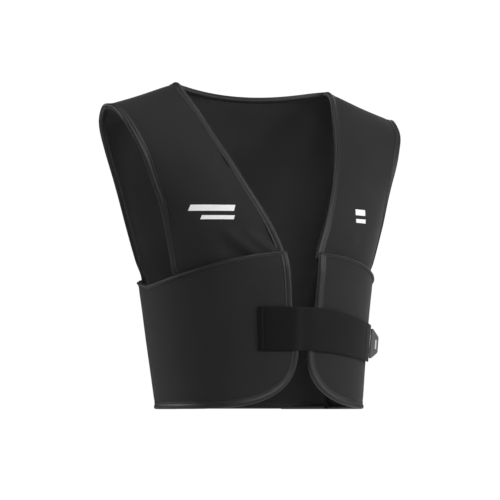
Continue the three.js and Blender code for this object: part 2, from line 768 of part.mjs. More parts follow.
const sides = { right: -1, left: 1 };
const backSides = { right: backSide(sides.right), left: backSide(sides.left) };
const shoulders = { right: shoulderEdges(sides.right), left: shoulderEdges(sides.left) };

addPiece('back_panel', backPanel(backSides.right, backSides.left), 'fabric');

const neckRun = [...[...shoulders.right.neck].reverse(), ...backNeck.slice(1, -1), ...shoulders.left.neck];
addPiece('neck_binding', foldedTape(neckRun, 0, tapeWidth, paddingEdgeThickness, false), 'tape');
addPiece('back_hem_binding', foldedTape(backHem, 0, tapeWidth, paddingEdgeThickness, true), 'tape');

for (const [name, side] of Object.entries(sides)) {
  addPiece(`front_shoulder_${name}`, shoulderFront(shoulders[name]), 'fabric');

  const armRun = [...[...shoulders[name].arm].reverse(), ...backSides[name].arm.slice(1)];
  const armTape = foldedTape(armRun, 0, tapeWidth, paddingEdgeThickness, side < 0);
  addPiece(`armhole_binding_${name}`, armTape, 'tape');

  const wrap = wrapEdges(side);
  addPiece(`waist_wrap_${name}`, waistWrap(wrap), 'fabric');
  const edgeTape = foldedTape(wrap.front, wrapLift, tapeWidth, wrapEdgeThickness, side < 0);
  addPiece(`wrap_edge_binding_${name}`, edgeTape, 'tape');
  const topTape = foldedTape(wrap.top, wrapLift, pipingWidth, wrapEdgeThickness, side > 0);
  addPiece(`wrap_top_binding_${name}`, topTape, 'tape');
}

addPiece('closure_strap', closureStrap(), 'elastic');
addPiece('pull_tab', pullTab(), 'rubber');

export default vest;
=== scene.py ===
# Rib protector: a padded vest in its worn form with a waist wrap and a wide closing strap.
# Blender 4.5. Every piece lies on one worn form, which is worked out in millimetres.
import math
import bpy
import numpy as np
from mathutils import Matrix, Vector, kdtree


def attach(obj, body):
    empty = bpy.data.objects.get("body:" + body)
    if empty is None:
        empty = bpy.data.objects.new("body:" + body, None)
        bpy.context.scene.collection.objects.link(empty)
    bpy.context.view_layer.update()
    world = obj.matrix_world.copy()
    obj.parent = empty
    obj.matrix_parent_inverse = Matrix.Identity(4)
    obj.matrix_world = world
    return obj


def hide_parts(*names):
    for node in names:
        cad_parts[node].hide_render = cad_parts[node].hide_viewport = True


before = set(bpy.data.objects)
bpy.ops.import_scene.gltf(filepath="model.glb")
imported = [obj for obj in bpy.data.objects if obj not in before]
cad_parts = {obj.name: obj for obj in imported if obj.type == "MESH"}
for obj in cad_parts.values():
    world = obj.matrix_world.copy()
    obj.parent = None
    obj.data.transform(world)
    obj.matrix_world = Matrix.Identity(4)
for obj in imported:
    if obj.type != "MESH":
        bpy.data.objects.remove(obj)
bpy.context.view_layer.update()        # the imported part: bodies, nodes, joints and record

mm = 0.001

# the worn form: half widths and depths at each level, a level being a share of the height above the hem
wornForm = {
    "height": 490, "waistHalf": 169, "frontDepth": 144, "backDepth": 113, "hemForward": 17,
    "squareness": 2.36, "neckHalf": 127, "neckSag": 14, "shoulderHalf": 247, "ridgeDrop": 3.9,
    "slope": 0.363, "sag": 2.5, "slopeSoftness": 20, "slopeReach": 60, "step": 0.012, "widest": 0.999,
}
sections = {"width": 1, "front": 2, "back": 3, "lean": 4, "frontSquareness": 5}       # the table's columns
sectionTable = [         # level, width, front, back, lean, squareness of the front
    (1.0, 1.95, 0.0, 0.0, 0.0, 2.36),
    (0.99, 1.945, 0.085, 0.165, 0.0, 2.8),
    (0.965, 1.93, 0.162, 0.32, 0.0, 3.7),
    (0.92, 1.85, 0.291, 0.5, -0.05, 4.3),
    (0.84, 1.67, 0.5, 0.7, -0.05, 3.0),
    (0.715, 1.39, 0.79, 0.9, 0.0, 2.36),
    (0.57, 1.18, 1.01, 1.02, 0.0, 2.36),
    (0.46, 1.07, 1.06, 1.025, 0.15, 2.26),
    (0.41, 1.015, 1.07, 1.005, 0.3, 2.16),
    (0.2, 0.935, 0.985, 0.965, 0.65, 2.16),
    (0.0, 0.865, 0.905, 0.905, 1.0, 2.3),
]
openingTable = [         # level, finished front edge as a share of the neck's half width
    (1.0, 1.0), (0.975, 0.985), (0.945, 0.949), (0.9, 0.89), (0.81, 0.772), (0.715, 0.617), (0.66, 0.528),
    (0.6, 0.422), (0.53, 0.306), (0.475, 0.223), (0.42, 0.185),
    (0.35, 0.16), (0.3, 0.145), (0.18, 0.055), (0.0, 0.045),
]
armholeTable = [         # level, finished armhole edge on the front and on the back, shares of the shoulder
    (1.0, 1.0, 1.0), (0.95, 0.966, 0.965), (0.89, 0.943, 0.936), (0.81, 0.893, 0.881), (0.7, 0.819, 0.808),
    (0.62, 0.767, 0.762), (0.52, 0.717, 0.715), (0.45, 0.682, 0.681), (0.4, 0.652, 0.66), (0.3, 0.6, 0.62),
]


def blend(first, last, share):
    return first + (last - first) * share


def ease(share):
    share = np.clip(share, 0, 1)
    return share * share * (3 - 2 * share)


def lookUp(table, column, level):
    rows = np.array(table)
    places = np.sqrt(1 - rows[:, 0])
    values = rows[:, column]
    steep = np.gradient(values)
    steep[1:-1] = (values[2:] - values[:-2]) / (places[2:] - places[:-2])
    steep[0] = (values[1] - values[0]) / (places[1] - places[0])
    steep[-1] = (values[-1] - values[-2]) / (places[-1] - places[-2])
    at = np.sqrt(np.clip(1 - np.asarray(level, float), 0, 1))
    row = np.clip(np.searchsorted(places, at) - 1, 0, len(places) - 2)
    span = places[row + 1] - places[row]
    share = np.clip((at - places[row]) / span, 0, 1)
    square, cube = share ** 2, share ** 3
    return (values[row] * (2 * cube - 3 * square + 1) + values[row + 1] * (3 * square - 2 * cube)
            + steep[row] * span * (cube - 2 * square + share) + steep[row + 1] * span * (cube - square))


def archAt(level):
    return np.sqrt(np.clip(1 - np.asarray(level, float), 0, None))


def powerAt(level, onBack):
    onFront = lookUp(sectionTable, sections["frontSquareness"], level)
    return np.where(onBack, wornForm["squareness"], onFront)


# Turn 0 is the front and a quarter turn the wearer's left. Arch 0 is the shoulder ridge and 1 the hem.
def formPoints(turn, arch):
    turn, arch = np.broadcast_arrays(np.asarray(turn, float), np.asarray(arch, float))
    around = np.where(arch < 0, math.pi - turn, turn)
    level = 1 - arch ** 2
    sine, cosine = np.sin(around), np.cos(around)
    power = powerAt(level, cosine < 0)
    rounding = (abs(sine) ** power + abs(cosine) ** power) ** (1 / power)
    x = wornForm["waistHalf"] * lookUp(sectionTable, sections["width"], level) * sine / rounding
    depth = np.where(cosine > 0, wornForm["frontDepth"] * lookUp(sectionTable, sections["front"], level),
                     wornForm["backDepth"] * lookUp(sectionTable, sections["back"], level))
    forward = depth * cosine / rounding
    lean = wornForm["hemForward"] * lookUp(sectionTable, sections["lean"], level)
    below = wornForm["height"] * arch ** 2
    softness = wornForm["slopeSoftness"]
    past = abs(x) - wornForm["neckHalf"]
    outwards = (past + np.hypot(past, softness)) / 2 - softness / 2
    share = np.clip(past / (wornForm["shoulderHalf"] - wornForm["neckHalf"]), 0, 1)
    fall = wornForm["slope"] * outwards + wornForm["sag"] * np.sin(math.pi * share)
    fall = fall * np.exp(-below / wornForm["slopeReach"])
    return np.stack([x, -forward - lean, -wornForm["ridgeDrop"] * level - below - fall], axis=-1)


def formSlopes(turn, arch):
    step = wornForm["step"]
    alongTurn = (formPoints(turn + step, arch) - formPoints(turn - step, arch)) / (2 * step)
    alongArch = (formPoints(turn, arch + step) - formPoints(turn, arch - step)) / (2 * step)
    return alongTurn, alongArch


def unit(vectors):
    return vectors / np.linalg.norm(vectors, axis=-1, keepdims=True)


def formNormals(turn, arch):
    alongTurn, alongArch = formSlopes(turn, arch)
    return unit(np.cross(alongArch, alongTurn))


def liftedPoints(turn, arch, lift):
    return formPoints(turn, arch) + formNormals(turn, arch) * np.reshape(lift, (-1, 1))


def spotsAt(x, level, onBack):       # spots on the front or back half, at a distance from the middle plane
    halfWidth = wornForm["waistHalf"] * lookUp(sectionTable, sections["width"], level)
    share = np.minimum(abs(x) / halfWidth, wornForm["widest"])
    power = powerAt(level, onBack)
    turn = np.arctan2(share, (1 - share ** power) ** (1 / power)) * np.sign(x)
    return (math.pi - turn if onBack else turn), archAt(level)


def shiftedSpots(turn, arch, direction, length):     # moved over the form by a length, in a few steps
    steps = 4
    for _ in range(steps):
        alongTurn, alongArch = formSlopes(turn, arch)
        turnSquare = (alongTurn ** 2).sum(-1)
        archSquare = (alongArch ** 2).sum(-1)
        both = (alongTurn * alongArch).sum(-1)
        byTurn = (alongTurn * direction).sum(-1)
        byArch = (alongArch * direction).sum(-1)
        scale = length / steps / (turnSquare * archSquare - both ** 2)
        turn = turn + (byTurn * archSquare - byArch * both) * scale
        arch = arch + (byArch * turnSquare - byTurn * both) * scale
    return turn, arch


def lengthsAlong(points):
    return np.concatenate([[0], np.cumsum(np.linalg.norm(np.diff(points, axis=0), axis=1))])


def spacedSpots(curve, count):       # a curve's spots at even lengths
    samples = 601
    shares = np.linspace(0, 1, samples)
    turn, arch = curve(shares)
    lengths = lengthsAlong(formPoints(turn, arch))
    return curve(np.interp(np.linspace(0, lengths[-1], count + 1), lengths, shares))


def joinedSpots(*runs):
    turns = [runs[0][0]] + [run[0][1:] for run in runs[1:]]
    arches = [runs[0][1]] + [run[1][1:] for run in runs[1:]]
    return np.concatenate(turns), np.concatenate(arches)


def overRidge(spots):         # spots on the back, told as spots that went on over the ridge from the front
    return math.pi - spots[0], -spots[1]


def reversedSpots(spots):
    return spots[0][::-1], spots[1][::-1]


padding = {
    "full": 7, "edge": 4.5, "wrapFull": 6, "wrapEdge": 4, "tape": 1.2, "tapeRoom": 0.8, "gap": 0.3,
}
waist = {
    "sideHeight": 186, "frontRise": 44.5, "risePower": 1.55, "backRise": 20, "rearTurn": math.radians(145),
    "cornerWidth": 130, "cornerHeight": 90, "cornerPower": 2.5, "cornerSplit": 0.5, "tuck": 26,
    "backSideTurn": math.radians(112), "backArmRise": 3, "frontArmRise": 8, "sidePace": 3,
}
counts = {       # points along the runs that bound a patch, and along a tape
    "side": 120, "shoulder": 60, "backShoulder": 54, "neck": 120, "backHem": 228, "wrapFront": 80,
    "wrapCorner": 30, "wrapBend": 40, "wrapHem": 200, "wrapTop": 240, "wrapRear": 110, "tape": 200,
    "neckTape": 150, "wrapEdge": 100, "measured": 200,
}
edgeInset = padding["gap"] + padding["tape"]
foldReach = padding["tape"] + padding["tapeRoom"]
wrapLift = (padding["edge"] + padding["wrapEdge"]) / 2 + 2 * foldReach + padding["gap"]
height = wornForm["height"]
hemLevel = edgeInset / height
ridgeOver = -0.012       # panels reach this much of an arch over the ridge before their edges are rounded
ridgeStretch = 0.1       # the share of a side run that leads up to that
neckEndPower = 6         # how close to the neck points the back of the neck bends up to the ridge


def openingHalf(level):
    return wornForm["neckHalf"] * lookUp(openingTable, 1, level) + edgeInset


def armHalf(level, column):
    return wornForm["shoulderHalf"] * lookUp(armholeTable, column, level) - edgeInset


def wrapTopLevel(turn):
    forward = np.cos(turn)
    rise = np.where(forward > 0, waist["frontRise"] * np.maximum(0, forward) ** waist["risePower"],
                    -waist["backRise"] * forward)
    return (waist["sideHeight"] + rise) / height


def wrapCornerLevel():
    rounds = 8
    level = wrapTopLevel(0)
    for _ in range(rounds):
        level = wrapTopLevel(spotsAt(openingHalf(level), level, False)[0])
    return float(level) - edgeInset / height


cornerLevel = wrapCornerLevel()
frontTuckLevel = float(wrapTopLevel(0)) - waist["tuck"] / height
armTuckLevel = (waist["sideHeight"] - waist["tuck"]) / height
backArmLevel = (waist["sideHeight"] + waist["backArmRise"]) / height
armTapedLevel = (waist["sideHeight"] + waist["frontArmRise"]) / height


def sideCurve(side, levels, halfAt, onBack):     # its arch runs between two levels
    first, last = archAt(levels[0]), archAt(levels[1])

    def curve(shares):
        arch = blend(first, last, shares)
        turn, _ = spotsAt(side * halfAt(1 - arch ** 2), 1 - arch ** 2, onBack)
        return turn, arch
    return curve


def straightRun(start, end, count):
    shares = np.linspace(0, 1, count + 1)
    return blend(start[0], end[0], shares), blend(start[1], end[1], shares)


def ridgeRun(side, onBack, count):
    shares = np.linspace(0, 1, count + 1)
    half = blend(wornForm["neckHalf"] + edgeInset, wornForm["shoulderHalf"] - edgeInset, shares)
    turn, arch = spotsAt(side * half, np.ones_like(half), onBack)
    return turn, arch + ridgeOver


def openingRun(side, lowest, count):
    return spacedSpots(sideCurve(side, (1, lowest), openingHalf, False), count)


def armRun(side, lowest, onBack, count):
    column = 2 if onBack else 1
    return spacedSpots(sideCurve(side, (1, lowest), lambda level: armHalf(level, column), onBack), count)


def backNeckRun(count):
    def curve(shares):
        bend = blend(-math.pi / 2, math.pi / 2, shares)
        drop = wornForm["neckSag"] * np.cos(bend) ** 2 / height
        return spotsAt((wornForm["neckHalf"] + edgeInset) * np.sin(bend), 1 - drop, True)
    return spacedSpots(curve, count)


def levelRun(fromTurn, toTurn, level, count):
    def curve(shares):
        return blend(fromTurn, toTurn, shares), np.full_like(shares, float(archAt(level)))
    return spacedSpots(curve, count)


def cornerCurve(side):
    cornerTop = waist["cornerHeight"] / height
    cornerStart = openingHalf(cornerTop)
    power = 2 / waist["cornerPower"]

    def curve(shares):
        bend = shares * math.pi / 2
        out = 1 - np.clip(np.cos(bend), 0, 1) ** power
        down = np.sin(bend) ** power
        half = cornerStart + waist["cornerWidth"] * out
        return spotsAt(side * half, blend(cornerTop, hemLevel, down), False)
    return curve


def hemStart(side):      # the turn where a wrap's round corner has come down to the hem
    return float(cornerCurve(side)(np.array([1.0]))[0][0])


def partOf(curve, first, last):
    return lambda shares: curve(blend(first, last, shares))


def wrapTopSpots(turn):
    return turn, archAt(wrapTopLevel(turn) - edgeInset / height)


def wrapFrontRun(side, count):       # down the front edge of a wrap, to the start of its round corner
    levels = (cornerLevel, waist["cornerHeight"] / height)
    return spacedSpots(sideCurve(side, levels, openingHalf, False), count)


def wrapTopRun(side, count):
    start = wrapFrontRun(side, 1)[0][0]
    return spacedSpots(lambda shares: wrapTopSpots(blend(start, side * waist["rearTurn"], shares)), count)


def fromOverRidge(run):      # the run's first stretch starts a little over the ridge
    shares = np.linspace(0, 1, len(run[0]))
    return run[0], run[1] + ridgeOver * ease(1 - shares / ridgeStretch)


# Patches: two side runs from the top down, a top and a bottom run from the first side to the second
def shoulderPatch(side):
    opening = openingRun(side, frontTuckLevel, counts["side"])
    arm = armRun(side, armTuckLevel, False, counts["side"])
    ends = [(run[0][-1], run[1][-1]) for run in (opening, arm)]
    return {
        "first": fromOverRidge(opening), "second": fromOverRidge(arm),
        "top": ridgeRun(side, False, counts["shoulder"]), "bottom": straightRun(*ends, counts["shoulder"]),
    }


def backSideRun(side):
    arm = armRun(side, backArmLevel, True, counts["side"])
    start = (arm[0][-1], arm[1][-1])
    measured = np.linspace(0, 1, counts["measured"])
    sideTurn = waist["backSideTurn"] if side > 0 else 2 * math.pi - waist["backSideTurn"]

    def below(shares):
        return (blend(start[0], sideTurn, np.minimum(1, shares * waist["sidePace"])),
                blend(start[1], archAt(hemLevel), shares))
    upper, lower = [lengthsAlong(formPoints(*run))[-1] for run in (arm, below(measured))]
    return fromOverRidge(joinedSpots(arm, spacedSpots(below, round(counts["side"] * lower / upper))))


def backPatch():
    neck = backNeckRun(counts["neck"])
    left, right = [ridgeRun(side, True, counts["backShoulder"]) for side in (1, -1)]
    fromMiddle = abs(np.linspace(-1, 1, counts["neck"] + 1))
    neck = (neck[0], neck[1] + ease(fromMiddle ** neckEndPower) * ridgeOver)
    leftTurn, rightTurn = waist["backSideTurn"], 2 * math.pi - waist["backSideTurn"]
    return {
        "first": backSideRun(1), "second": backSideRun(-1),
        "top": joinedSpots(reversedSpots(left), reversedSpots(neck), right),
        "bottom": levelRun(leftTurn, rightTurn, hemLevel, counts["backHem"]),
    }


def wrapPatch(side):
    corner = cornerCurve(side)
    split, rearTurn = waist["cornerSplit"], side * waist["rearTurn"]
    upper = joinedSpots(wrapFrontRun(side, counts["wrapFront"]),
                        spacedSpots(partOf(corner, 0, split), counts["wrapCorner"]))
    hem = levelRun(hemStart(side), rearTurn, hemLevel, counts["wrapHem"])
    lower = joinedSpots(spacedSpots(partOf(corner, split, 1), counts["wrapBend"]), hem)
    rearTop = wrapTopSpots(rearTurn)
    rear = straightRun(rearTop, (rearTurn, archAt(hemLevel)), counts["wrapRear"])
    return {
        "first": upper, "second": rear,
        "top": wrapTopRun(side, counts["wrapTop"]), "bottom": evenRun(lower, counts["wrapTop"]),
    }


def evenRun(spots, count):       # the same run with its spots at even lengths
    lengths = lengthsAlong(formPoints(*spots))
    at = np.linspace(0, lengths[-1], count + 1)
    return np.interp(at, lengths, spots[0]), np.interp(at, lengths, spots[1])


def onRun(run, shares):
    places = np.linspace(0, 1, len(run[0]))
    return np.array([np.interp(shares, places, run[0]), np.interp(shares, places, run[1])])


def patchSpots(patch, across, down):
    first, second = onRun(patch["first"], down), onRun(patch["second"], down)
    top, bottom = onRun(patch["top"], across), onRun(patch["bottom"], across)
    corners = [[onRun(patch[name], end).reshape(2, 1) for name in ("top", "bottom")] for end in (0.0, 1.0)]
    flat = blend(blend(*corners[0], down), blend(*corners[1], down), across)
    turn, arch = blend(first, second, across) + blend(top, bottom, down) - flat
    return turn, arch


def readPoints(piece):
    flat = np.empty(len(piece.data.vertices) * 3)
    piece.data.vertices.foreach_get("co", flat)
    return flat.reshape(-1, 3)


def writePoints(piece, points):
    piece.data.vertices.foreach_set("co", np.ascontiguousarray(points, float).ravel())
    piece.data.update()


def pick(piece):
    bpy.ops.object.select_all(action="DESELECT")
    piece.select_set(True)
    bpy.context.view_layer.objects.active = piece


def gridPiece(name, columns, rows):      # a flat grid, and where each of its points is across and down
    bpy.ops.object.select_all(action="DESELECT")
    bpy.ops.mesh.primitive_grid_add(x_subdivisions=columns, y_subdivisions=rows, size=1)
    piece = bpy.context.object
    piece.name = name
    piece.data.name = name
    flat = readPoints(piece)
    return piece, flat[:, 0] + 0.5, flat[:, 1] + 0.5


def applied(piece, kind, **settings):    # adds a modifier, sets it and applies it
    pick(piece)
    bpy.ops.object.modifier_add(type=kind)
    modifier = piece.modifiers[-1]
    for name, value in settings.items():
        setattr(modifier, name, value)
    bpy.ops.object.modifier_apply(modifier=modifier.name)


def tidyNormals(piece):
    pick(piece)
    bpy.ops.object.mode_set(mode="EDIT")
    bpy.ops.mesh.select_all(action="SELECT")
    bpy.ops.mesh.normals_make_consistent(inside=False)
    bpy.ops.object.mode_set(mode="OBJECT")
    bpy.ops.object.shade_smooth()


def treeOf(runs, lift):
    count = 400
    points = np.concatenate([liftedPoints(*evenRun(run, count), lift) for run in runs])
    tree = kdtree.KDTree(len(points))
    for index, point in enumerate(points):
        tree.insert(point, index)
    tree.balance()
    return tree


def distances(tree, points):
    return np.array([tree.find(point)[2] for point in points])


def uvPerPoint(piece):       # where each point is across and down, from the grid's own map
    layer = piece.data.uv_layers.active.data
    values = np.empty(len(layer) * 2)
    layer.foreach_get("uv", values)
    corners = np.empty(len(piece.data.loops), int)
    piece.data.loops.foreach_get("vertex_index", corners)
    result = np.zeros((len(piece.data.vertices), 2))
    result[corners] = values.reshape(-1, 2)
    return result[:, 0], result[:, 1]


def writeMap(piece, perPoint):       # in metres along the cloth, so that a weave keeps its real size
    corners = np.empty(len(piece.data.loops), int)
    piece.data.loops.foreach_get("vertex_index", corners)
    piece.data.uv_layers.active.data.foreach_set("uv", (perPoint[corners] * mm).ravel())


clothGrid = {"turns": np.linspace(-math.pi, 2 * math.pi, 360), "arches": np.linspace(-0.02, 1, 90)}


def clothLengths():      # lengths over the form from the front middle round, and from the ridge down
    turns, arches = np.meshgrid(clothGrid["turns"], clothGrid["arches"])
    points = formPoints(turns, arches)
    across = np.cumsum(np.pad(np.linalg.norm(np.diff(points, axis=1), axis=2), ((0, 0), (1, 0))), axis=1)
    down = np.cumsum(np.pad(np.linalg.norm(np.diff(points, axis=0), axis=2), ((1, 0), (0, 0))), axis=0)
    return across, down


clothRound, clothDown = clothLengths()


def gridValue(table, turn, arch):
    column = np.interp(turn, clothGrid["turns"], np.arange(len(clothGrid["turns"])))
    row = np.interp(arch, clothGrid["arches"], np.arange(len(clothGrid["arches"])))
    left, above = np.floor(column).astype(int), np.floor(row).astype(int)
    right, below = np.minimum(left + 1, table.shape[1] - 1), np.minimum(above + 1, table.shape[0] - 1)
    return blend(blend(table[above, left], table[above, right], column - left),
                 blend(table[below, left], table[below, right], column - left), row - above)


foldFade = 0.3
foldColumns = ("onBack", "high", "width", "path")
folds = {        # paths in millimetres: from the middle plane, and above the hem; high is outwards
    "front_shoulder_right": [
        (False, 4.4, 7, [(-122, 266), (-94, 245), (-64, 223), (-46, 208)]),
        (False, -3.2, 11, [(-126, 248), (-98, 228), (-72, 212), (-58, 202)]),
        (False, 4.0, 6.5, [(-94, 266), (-64, 243), (-42, 226), (-30, 212)]),
        (False, -2.2, 7, [(-88, 243), (-66, 228), (-50, 216), (-40, 206)]),
        (False, -1.6, 8, [(-70, 268), (-48, 250), (-34, 238)]),
        (False, -1.6, 10, [(-112, 372), (-100, 364), (-92, 352)]),
        (False, 1.6, 22, [(-177, 415), (-142, 366), (-107, 312)]),
        (False, -1.2, 16, [(-196, 350), (-176, 300), (-160, 250)]),
    ],
    "front_shoulder_left": [
        (False, 2.0, 9, [(110, 262), (84, 243), (58, 226)]),
        (False, 1.2, 20, [(170, 410), (140, 360), (112, 312)]),
    ],
    "waist_wrap_right": [
        (False, -2.2, 12, [(-92, 172), (-80, 160), (-66, 152)]),
        (False, -1.4, 9, [(-140, 44), (-105, 38), (-66, 45)]),
        (False, 1.2, 16, [(-150, 150), (-120, 132), (-84, 128)]),
        (False, -1.0, 16, [(-152, 92), (-118, 80), (-80, 84)]),
    ],
    "waist_wrap_left": [
        (False, -1.2, 12, [(60, 190), (92, 182), (124, 170)]),
        (False, 1.2, 12, [(70, 50), (104, 44), (136, 52)]),
    ],
    "back_panel": [
        (True, -1.8, 14, [(-120, 250), (-60, 238), (0, 234), (60, 238), (120, 250)]),
        (True, -1.4, 22, [(-70, 420), (0, 404), (70, 420)]),
        (True, 1.4, 26, [(-90, 120), (0, 112), (90, 120)]),
    ],
}

puff = {
    "pressure": 4.0, "frames": 20, "cap": 2.2, "quality": 4, "tension": 15, "bending": 2.0, "mass": 0.3,
}
panelShape = {
    "cell": 6.5, "backCell": 8.5, "startShare": 0.8, "pressed": 8.0, "slope": 9.0, "seam": 5.0,
    "seamShare": 0.62, "edgeShare": 1e-4, "fill": 0.5,
}


# A grid is laid on the form and given two faces. It starts thinner than the finished padding.
def startPanel(name, patch, lift, full, edge, taped, cell):
    first, top = patch["first"], patch["top"]
    rows = round(lengthsAlong(formPoints(*first))[-1] / cell)
    columns = round(lengthsAlong(formPoints(*top))[-1] / cell)
    piece, across, down = gridPiece(name, columns, rows)
    turn, arch = patchSpots(patch, across, down)
    lifts = lift(turn, arch)
    middle = liftedPoints(turn, arch, lifts)
    writePoints(piece, middle * mm)
    applied(piece, "SOLIDIFY", thickness=mm, offset=0)
    count = len(middle)
    loose = [run for run in patch.values() if not any(run is other for other in taped)]
    near = distances(treeOf(taped, float(np.mean(lifts))), middle)
    fullness = ease((near - panelShape["pressed"]) / panelShape["slope"])
    half = blend(edge, full * panelShape["startShare"], fullness) / 2
    normals = formNormals(turn, arch)
    both = np.concatenate([middle + normals * half[:, None], middle - normals * half[:, None]])
    writePoints(piece, both * mm)
    tidyNormals(piece)
    group = piece.vertex_groups.new(name="sewn")
    fromEdge = np.minimum.reduce([across, 1 - across, down, 1 - down])
    held = np.where((near < panelShape["pressed"]) | (fromEdge < panelShape["edgeShare"]))[0]
    group.add([int(index) for index in np.concatenate([held, held + count])], 1.0, "REPLACE")
    normals = np.tile(normals, (2, 1))
    return {"piece": piece, "patch": patch, "lift": lift, "loose": loose, "normals": normals}


def puffPanels(panels):      # one short cloth run for all the panels, pinned along their seams
    starts = {}
    for panel in panels:
        piece = panel["piece"]
        starts[piece.name] = readPoints(piece)
        pick(piece)
        bpy.ops.object.modifier_add(type="CLOTH")
        cloth = piece.modifiers[-1]
        cloth.settings.quality = puff["quality"]
        cloth.settings.mass = puff["mass"]
        cloth.settings.tension_stiffness = puff["tension"]
        cloth.settings.compression_stiffness = puff["tension"]
        cloth.settings.bending_stiffness = puff["bending"]
        cloth.settings.use_pressure = True
        cloth.settings.uniform_pressure_force = puff["pressure"]
        cloth.settings.vertex_group_mass = "sewn"
        cloth.settings.effector_weights.gravity = 0
        cloth.collision_settings.use_collision = False
        cloth.point_cache.frame_end = puff["frames"]
    for step in range(1, puff["frames"] + 1):
        bpy.context.scene.frame_set(step)
    shapes = {}
    graph = bpy.context.evaluated_depsgraph_get()
    for panel in panels:
        piece = panel["piece"]
        mesh = piece.evaluated_get(graph).to_mesh()
        flat = np.empty(len(mesh.vertices) * 3)
        mesh.vertices.foreach_get("co", flat)
        shapes[piece.name] = flat.reshape(-1, 3)
    bpy.context.scene.frame_set(1)
    for panel in panels:
        piece = panel["piece"]
        piece.modifiers.remove(piece.modifiers[-1])
        moved = (shapes[piece.name] - starts[piece.name]) / mm
        swell = (moved * panel["normals"]).sum(1, keepdims=True)
        capped = puff["cap"] * np.tanh(swell / puff["cap"])
        print("puffed", piece.name, "by up to", round(float(abs(capped).max()), 2), "mm")
        writePoints(piece, starts[piece.name] + panel["normals"] * capped * mm)


def finishPanel(panel, panelFolds):      # one subdivision, then rounded seams and folds moved in by code
    piece = panel["piece"]
    applied(piece, "SUBSURF", levels=1, render_levels=1)
    across, down = uvPerPoint(piece)
    turn, arch = patchSpots(panel["patch"], across, down)
    normals = formNormals(turn, arch)
    onForm = formPoints(turn, arch)
    middle = onForm + normals * panel["lift"](turn, arch)[:, None]
    points = readPoints(piece) / mm
    out = ((points - middle) * normals).sum(1)
    near = distances(treeOf(panel["loose"], 0), onForm)
    flatter = blend(panelShape["seamShare"], 1, np.sqrt(np.clip(near / panelShape["seam"], 0, 1)))
    points = points + normals * (out * (flatter - 1))[:, None]
    for row in panelFolds:
        points = points + normals * foldDepth(points, dict(zip(foldColumns, row)))[:, None]
    writePoints(piece, points * mm)
    lengths = np.stack([gridValue(clothRound, turn, arch), -gridValue(clothDown, turn, arch)], axis=1)
    writeMap(piece, lengths)
    tidyNormals(piece)
    face = piece.data.attributes.new("outerFace", "FLOAT", "POINT")
    face.data.foreach_set("value", (out > 0).astype(float))
    return piece


def foldDepth(points, fold):         # a soft ridge or dent along a short path over the form
    places = np.array(fold["path"], float)
    spots = spotsAt(places[:, 0], places[:, 1] / height, fold["onBack"])
    steps = 60
    line = formPoints(*evenRun(spots, steps))
    best = np.full(len(points), math.inf)
    where = np.zeros(len(points))
    for point, share in zip(line, np.linspace(0, 1, len(line))):
        gap = np.linalg.norm(points - point, axis=1)
        closer = gap < best
        best[closer] = gap[closer]
        where[closer] = share
    fade = ease(where / foldFade) * ease((1 - where) / foldFade)
    return fold["high"] * np.exp(-(best / fold["width"]) ** 2) * fade


tapeShape = {
    # shares of the tape's width inwards from the padding's edge, and millimetres above the padding
    "profile": [(1.0, 0.05), (0.97, 0.26), (0.9, 0.32), (0.81, 0.2), (0.74, 0.0), (0.68, 0.0), (0.6, 0.42),
                (0.48, 1.0), (0.34, 1.45), (0.2, 1.7), (0.08, 1.55), (-0.04, 1.05), (-0.11, 0.4)],
    "reach": 1.5, "step": 3.0, "thick": 0.6, "width": 9, "narrow": 4,
    "neckUnder": 8, "armFrontUnder": 6, "armBackUnder": 8,       # how far the ends go in under the wraps
}


def tapePiece(name, run, lift, width, edge, sign):
    length = lengthsAlong(formPoints(*run))[-1]
    count = round(length / tapeShape["step"])
    turn, arch = evenRun(run, count)
    section = [(inwards * width, edge / 2 + above) for inwards, above in tapeShape["profile"]]
    underside = [(inwards, -above) for inwards, above in reversed(section)]
    section = section + [(-tapeShape["reach"], 0.0)] + underside
    piece, across, down = gridPiece(name, len(section) - 1, count)
    ring = np.round(across * (len(section) - 1)).astype(int)
    stop = np.round(down * count).astype(int)
    lifts = lift(turn, arch)
    base = liftedPoints(turn, arch, lifts)
    normals = formNormals(turn, arch)
    ahead = np.gradient(base, axis=0)
    outwards = unit(np.cross(ahead, normals)) * sign
    points = np.empty((len(ring), 3))
    for index, (inwards, above) in enumerate(section):
        chosen = ring == index
        stops = stop[chosen]
        if inwards > 0:
            leg = shiftedSpots(turn[stops], arch[stops], outwards[stops], -inwards)
            place = liftedPoints(*leg, lifts[stops]) + formNormals(*leg) * above
        else:
            place = base[stops] - outwards[stops] * inwards + normals[stops] * above
        points[chosen] = place
    writePoints(piece, points * mm)
    around = np.concatenate([[0], np.cumsum(np.hypot(*np.diff(np.array(section), axis=0).T))])
    writeMap(piece, np.stack([around[ring], lengthsAlong(base)[stop]], axis=1))
    applied(piece, "SOLIDIFY", thickness=tapeShape["thick"] * mm, offset=0)
    tidyNormals(piece)
    return piece


def flatLift(value):
    return lambda turn, arch: np.full(np.shape(turn), float(value))


# Materials
def mathNode(tree, kind, *values):       # a maths node; a value is a number or another node's socket
    node = tree.nodes.new("ShaderNodeMath")
    node.operation = kind
    for socket, value in zip(node.inputs, values):
        if isinstance(value, (int, float)):
            socket.default_value = value
        else:
            tree.links.new(value, socket)
    return node.outputs[0]


clothNoise = {"details": (3, 2), "toneStops": (0.3, 0.7)}        # details of the nap and of the wear


